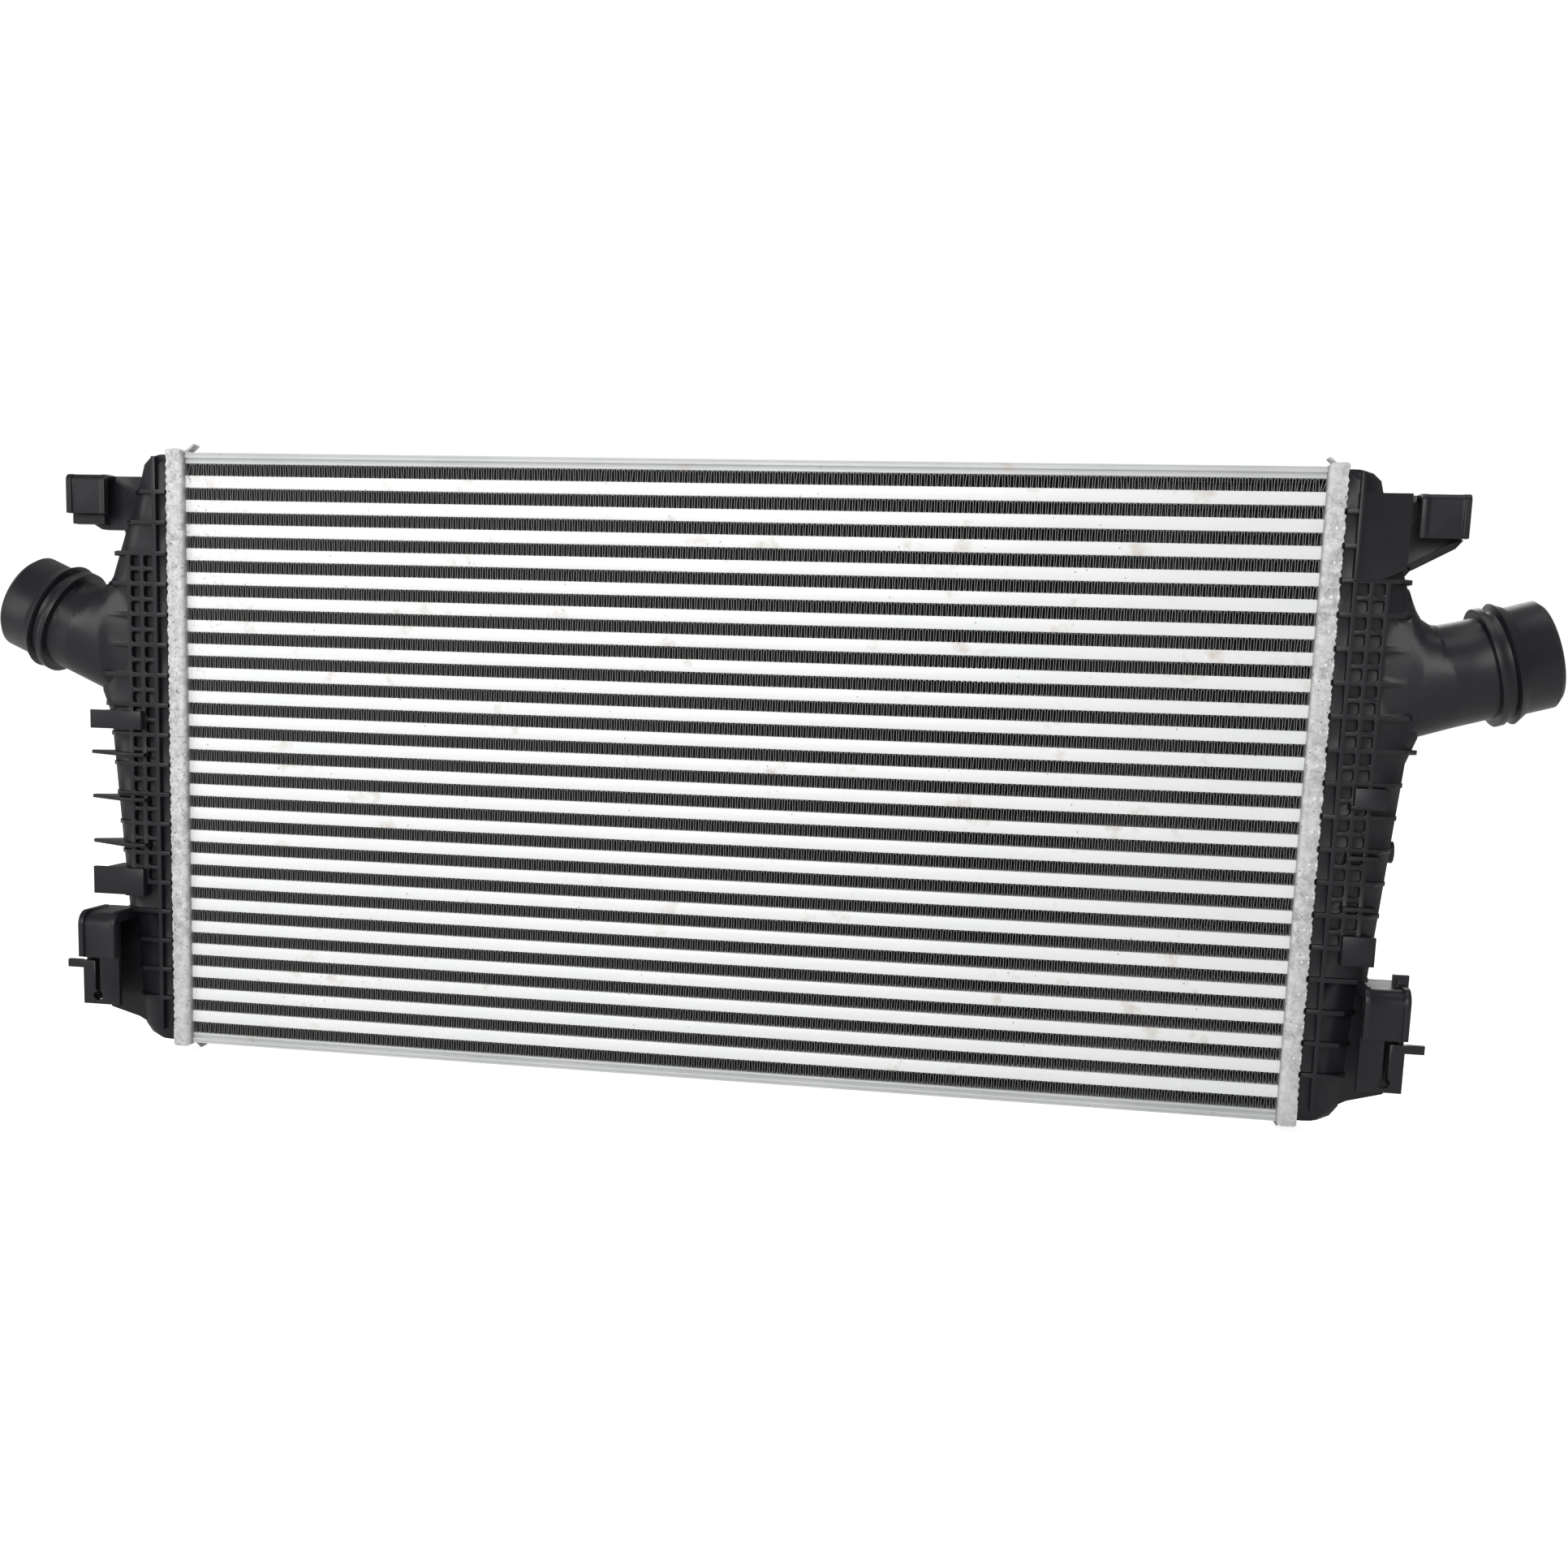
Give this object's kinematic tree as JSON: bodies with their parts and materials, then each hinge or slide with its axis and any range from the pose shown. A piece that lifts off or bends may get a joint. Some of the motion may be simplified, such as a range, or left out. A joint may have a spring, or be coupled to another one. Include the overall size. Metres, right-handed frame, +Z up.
{
  "type": "intercooler",
  "caption": "Air-to-air charge cooler: aluminium tube-and-fin core between two crimped black plastic tanks with hose necks and mounting hooks.",
  "frame": {"origin": "centre of the box round the whole cooler", "axes": "+X along the tubes towards the tank with the longer neck, -Y the face that meets the fresh air, +Z up"},
  "size_m": [0.8638, 0.071, 0.357],
  "materials": {
    "tube": "satin, brazed",
    "fin": "thin folded strip",
    "insert": "thin folded strip",
    "side_plate": "satin, folded sheet",
    "header": "matte, mottled by brazing",
    "gasket": "matte",
    "tank": "moulded glass-filled nylon"
  },
  "bodies": {
    "root": {"tube_01": "tube", "tube_02": "tube", "tube_03": "tube", "tube_04": "tube", "tube_05": "tube", "tube_06": "tube", "tube_07": "tube", "tube_08": "tube", "tube_09": "tube", "tube_10": "tube", "tube_11": "tube", "tube_12": "tube", "tube_13": "tube", "tube_14": "tube", "tube_15": "tube", "tube_16": "tube", "tube_17": "tube", "tube_18": "tube", "tube_19": "tube", "tube_20": "tube", "tube_21": "tube", "tube_22": "tube", "tube_23": "tube", "tube_24": "tube", "fin_01": "fin", "fin_02": "fin", "fin_03": "fin", "fin_04": "fin", "fin_05": "fin", "fin_06": "fin", "fin_07": "fin", "fin_08": "fin", "fin_09": "fin", "fin_10": "fin", "fin_11": "fin", "fin_12": "fin", "fin_13": "fin", "fin_14": "fin", "fin_15": "fin", "fin_16": "fin", "fin_17": "fin", "fin_18": "fin", "fin_19": "fin", "fin_20": "fin", "fin_21": "fin", "fin_22": "fin", "fin_23": "fin", "fin_24": "fin", "fin_25": "fin", "tube_inserts": "insert", "side_plate_top": "side_plate", "side_plate_bottom": "side_plate", "header_left": "header", "gasket_left": "gasket", "tank_left": "tank", "header_right": "header", "gasket_right": "gasket", "tank_right": "tank"}
  },
  "joints": []
}
